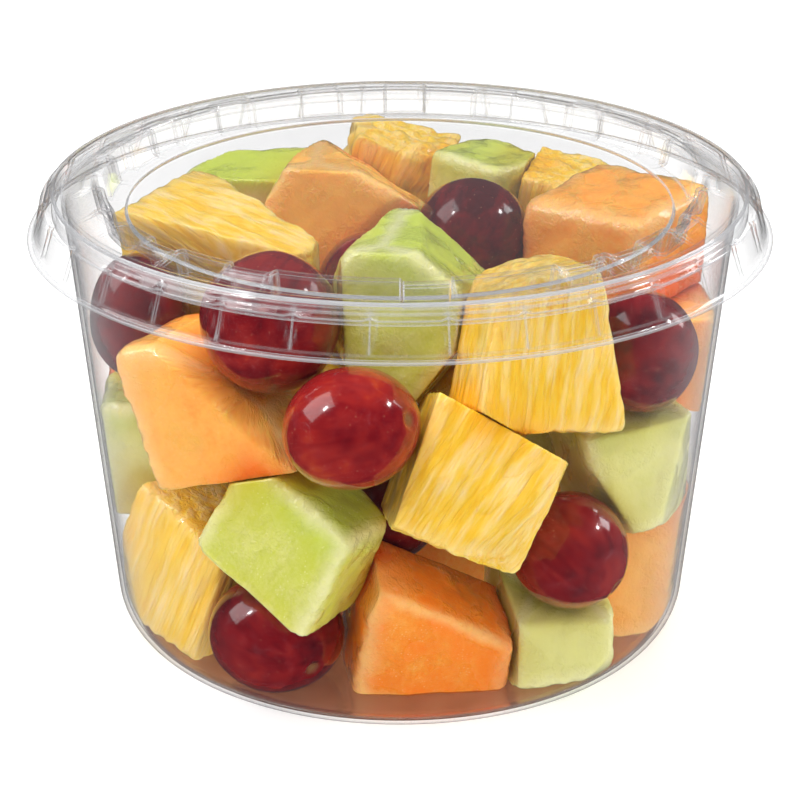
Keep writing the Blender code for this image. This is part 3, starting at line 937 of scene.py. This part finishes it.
def cube_grid(cells):
    """Points over the six sides of a cube from -1 to 1, closer together near its edges, and its quads."""
    line = np.arange(cells + 1)
    u, v = np.meshgrid(line, line, indexing="ij")
    flat = np.stack([u, v], axis=-1).reshape(-1, 2)
    corner = (np.arange(cells)[:, None] * (cells + 1) + np.arange(cells)).ravel()
    quad = np.stack([corner, corner + cells + 1, corner + cells + 2, corner + 1], axis=-1)
    places = []
    quads = []
    for axis in range(3):
        for end in (0, cells):
            quads.append((quad if (end == cells) != (axis == 1) else quad[:, ::-1]) + len(flat) * len(places))
            places.append(np.insert(flat, axis, end, axis=1))
    places, index = np.unique(np.vstack(places), axis=0, return_inverse=True)
    share = 2 * places / cells - 1
    share = 0.55 * share + 0.45 * np.sin(np.pi / 2 * share)
    return share, index.ravel()[np.vstack(quads)]


def fibre_grid(own, direction, distance):
    """Position along and across fibres that fan out from a point behind the piece.

    The first two parts are the angles off the middle fibre, as millimetres at the piece's middle, and
    the third is how far along the fibres a point lies.
    """
    along = unit(np.array(direction, float))
    across = unit(np.cross(along, [0.0, 1.0, 0.2]))
    over = np.cross(along, across)
    away = own + along * distance
    far = np.linalg.norm(away, axis=1)
    return np.stack([away @ across / far * distance, away @ over / far * distance, far - distance], axis=1)


def chunk_values(piece, own, directions):
    """What the finish of a chunk needs to know at each point."""
    near = np.sort(piece.facing(directions), axis=1)
    edge = np.clip((near[:, -2] / near[:, -1] - 0.55) / 0.45, 0, 1)
    count = len(own)
    direction, distance = FIBRES.get(piece.name, PLAIN_FIBRES)
    return {
        "own": own + 40.0 * piece.number,
        "edge": edge,
        "tone": np.full(count, TONES.get(piece.name, 0.5)),
        "depth": own[:, 2] / piece.half[2],
        "fibre": fibre_grid(own, direction, distance) + 40.0 * piece.number,
    }


def make_chunk(piece, pieces, grid, finish):
    """A cut chunk: its sides bow a little, with the knife's waves, and its edges are slightly ragged."""
    share, quads = grid
    directions = unit(share * piece.half) @ piece.turn.T
    reach = piece.free_reach(directions)
    own = directions @ piece.turn * reach[:, None]
    values = chunk_values(piece, own, directions)
    rough = 0.24 * waves(own, 8.0, 16.0, piece.number) + 0.09 * waves(own, 2.5, 5.0, piece.number + 100)
    rough += (0.03 + 0.12 * values["edge"] ** 2) * waves(own, 1.4, 3.0, piece.number + 200)
    if piece.kind == "pineapple":
        across = values["fibre"] * (1.0, 1.0, 0.12)
        rough += 0.22 * waves(across, 1.6, 4.5, piece.number + 300)
    if piece.name in KNOBBLY:
        rough += 0.8 * np.abs(waves(own, 6.0, 9.0, piece.number + 400))
    reach = piece.held_in_tub(directions, reach + rough)
    reach = piece.held_by_neighbours(directions, reach)
    points = piece.middle + directions * reach[:, None]
    values["touch"] = contact_shade_values(piece, points, pieces)
    return make_piece(piece.name + "_flesh", points, quads.tolist(), finish, values)


def make_grape(piece, finish):
    """Rings of points from the stem end to the tip of an uneven ellipsoid, dimpled at its stem scar."""
    stem = unit(np.array(STEM_ENDS.get(piece.name, HIDDEN_STEM)))
    side = unit(np.cross(stem, [0.0, 0.3, 1.0]))
    axes = np.array([side, np.cross(stem, side), stem])
    polar = np.pi * (np.arange(1, GRAPE_ROWS) / GRAPE_ROWS) ** 1.25
    round_turn = np.linspace(0, 2 * np.pi, GRAPE_COLUMNS, endpoint=False)
    p, t = np.meshgrid(polar, round_turn, indexing="ij")
    ring = np.stack([np.sin(p) * np.cos(t), np.sin(p) * np.sin(t), np.cos(p)], axis=-1).reshape(-1, 3)
    ring = np.vstack([ring, [[0, 0, 1], [0, 0, -1]]])
    directions = ring @ axes
    reach = piece.free_reach(directions)
    from_stem = np.arccos(np.clip(ring[:, 2], -1, 1)) * reach.mean()
    own = ring * reach[:, None]
    dimple = -0.8 * np.exp(-((from_stem / 1.5) ** 2)) + 0.15 * np.exp(-(((from_stem - 2.3) / 0.7) ** 2))
    nub = 0.45 * np.exp(-((from_stem / 0.5) ** 2))
    reach = reach + dimple + nub + 0.12 * waves(own, 9.0, 20.0, piece.number)
    values = {
        "own": own + 40.0 * piece.number,
        "fibre": own + 40.0 * piece.number,
        "tone": np.full(len(own), TONES.get(piece.name, 0.25)),
        "scar": np.exp(-((from_stem / 1.35) ** 4)),
    }
    reach = piece.held_in_tub(directions, reach)
    reach = piece.held_by_neighbours(directions, reach)
    rows = GRAPE_ROWS - 1
    i, j = np.meshgrid(np.arange(rows - 1), np.arange(GRAPE_COLUMNS), indexing="ij")
    k = (j + 1) % GRAPE_COLUMNS
    upper = i * GRAPE_COLUMNS
    quads = np.stack([upper + j, upper + GRAPE_COLUMNS + j, upper + GRAPE_COLUMNS + k, upper + k], axis=-1)
    j = np.arange(GRAPE_COLUMNS)
    k = (j + 1) % GRAPE_COLUMNS
    pole = np.full(GRAPE_COLUMNS, rows * GRAPE_COLUMNS)
    tip = (rows - 1) * GRAPE_COLUMNS
    first = np.stack([pole, j, k], axis=-1)
    last = np.stack([pole + 1, tip + k, tip + j], axis=-1)
    faces = quads.reshape(-1, 4).tolist() + first.tolist() + last.tolist()
    points = piece.middle + directions * reach[:, None]
    return make_piece(piece.name + "_skin", points, faces, finish, values)


def make_fruit(finishes):
    pieces = [Piece(number, *row) for number, row in enumerate(FRUIT)]
    press_together(pieces)
    grid = cube_grid(CHUNK_CELLS)
    for piece in pieces:
        finish = finishes[piece.kind]
        if piece.kind == "grape":
            keep_in_frame(make_grape(piece, finish), piece.name, "grape_skin")
        else:
            keep_in_frame(make_chunk(piece, pieces, grid, finish), piece.name, piece.kind + "_flesh")


# Studio


def make_floor():
    """A wide bright floor just under the tub."""
    made, output, start = new_finish("floor_white")
    place = start.node("ShaderNodeTexCoord", {}, {}, output=3)
    white = place.noise(0.4, 2.0).mix((0.58, 0.58, 0.58), (0.60, 0.60, 0.60))
    values = {"Base Color": white, "Roughness": 0.9, "Emission Color": (1.0, 1.0, 1.0, 1.0)}
    principled(start, output, values | {"Emission Strength": 0.53})
    turn = np.linspace(0, 2 * np.pi, 96, endpoint=False)
    ring = np.stack([6000.0 * np.cos(turn), 6000.0 * np.sin(turn), np.full(96, -0.4)], axis=1)
    floor = make_piece("floor", ring, [list(range(96))], made)
    floor.visible_glossy = False


def make_softbox(name, azimuth, elevation, distance, width, height, power):
    """An area lamp that faces the middle of the tub. Azimuth is from the front towards +X."""
    lamp = bpy.data.lights.new(name, "AREA")
    lamp.shape = "RECTANGLE"
    lamp.size = width
    lamp.size_y = height
    lamp.energy = power
    ob = bpy.data.objects.new(name, lamp)
    a, e = math.radians(azimuth), math.radians(elevation)
    ob.location = (
        distance * math.cos(e) * math.sin(a),
        -distance * math.cos(e) * math.cos(a),
        0.05 + distance * math.sin(e),
    )
    ob.rotation_euler = (math.pi / 2 - e, 0.0, a)
    ob.visible_camera = False
    bpy.context.scene.collection.objects.link(ob)
    return ob


def make_studio():
    scene = bpy.context.scene
    scene.view_settings.view_transform = "Standard"
    world = bpy.data.worlds.new("studio")
    world.use_nodes = True
    background = world.node_tree.nodes["Background"]
    start = Wire(world.node_tree, None)
    way = start.node("ShaderNodeTexCoord", {}, {})
    up = way.node("ShaderNodeSeparateXYZ", {}, {0: way}, 2)
    seen_through = start.node("ShaderNodeLightPath", {}, {}, output=6)
    mirrors = start.node("ShaderNodeLightPath", {}, {}, output=10)
    seen_in_gloss = mirrors.math("MINIMUM", mirrors, 1.0)
    seen = start.node("ShaderNodeLightPath", {}, {}, output=0)
    light = 0.85 + 0.25 * (seen_through + seen) + 0.7 * up.between(0.2, 0.9)
    across = way.node("ShaderNodeSeparateXYZ", {}, {0: way}, 0)
    sides = across.math("ABSOLUTE", across).between(0.4, 0.9)
    behind = way.node("ShaderNodeSeparateXYZ", {}, {0: way}, 1).between(-0.1, 0.4)
    behind = behind * (1.0 - up.between(0.05, 0.25))
    below = (0.0 - up).between(0.1, 0.5)
    around = below.math("MAXIMUM", 0.35 * below, 0.6 * sides)
    mirrored = 0.05 + 0.9 * behind.math("MAXIMUM", behind, around)
    light = light * (1.0 - seen_in_gloss) + seen_in_gloss * mirrored
    world.node_tree.links.new(light.socket, background.inputs["Strength"])
    world.cycles.sampling_method = "NONE"
    scene.world = world
    make_softbox("softbox_left", -84.0, 46.0, 0.8, 0.50, 0.60, 3.8)
    make_softbox("softbox_right", 112.0, 28.0, 0.8, 0.22, 0.25, 1.2)
    make_softbox("glint_left", -62.0, 52.0, 0.8, 0.05, 0.10, 0.9)
    make_softbox("glint_right", 92.0, 42.0, 0.8, 0.10, 0.07, 1.1)
    for fill in (
        make_softbox("fill_above", 180.0, 74.0, 0.9, 0.7, 0.4, 7.0),
        make_softbox("fill_front", -5.0, 38.0, 1.2, 1.2, 0.8, 7.0),
        make_softbox("fill_right", 65.0, 12.0, 1.0, 0.6, 0.6, 3.0),
    ):
        fill.visible_glossy = False


def make_camera():
    """A long lens that looks down a little on the middle of the tub."""
    camera = bpy.data.cameras.new("camera")
    camera.lens = 117.0
    camera.sensor_width = 36.0
    ob = bpy.data.objects.new("camera", camera)
    distance = 0.528
    elevation = math.radians(23.3)
    target = 0.0455
    ob.location = (0.0, -distance * math.cos(elevation), target + distance * math.sin(elevation))
    ob.rotation_euler = (math.pi / 2 - elevation, 0.0, 0.0)
    bpy.context.scene.collection.objects.link(ob)
    bpy.context.scene.camera = ob


make_camera()
finishes = make_finishes()
tub = make_tub(finishes["tub"])
lid = make_lid(finishes["lid"])
keep_in_frame(tub, "tub", "clear_plastic")
keep_in_frame(lid, "lid", "clear_plastic")
make_fruit(finishes)
juice = make_juice(finishes["juice"])
for clear in (tub, lid, juice):  # the light falls through them unhindered
    clear.visible_shadow = False
    clear.visible_diffuse = False
    clear.visible_glossy = False
make_floor()
make_studio()
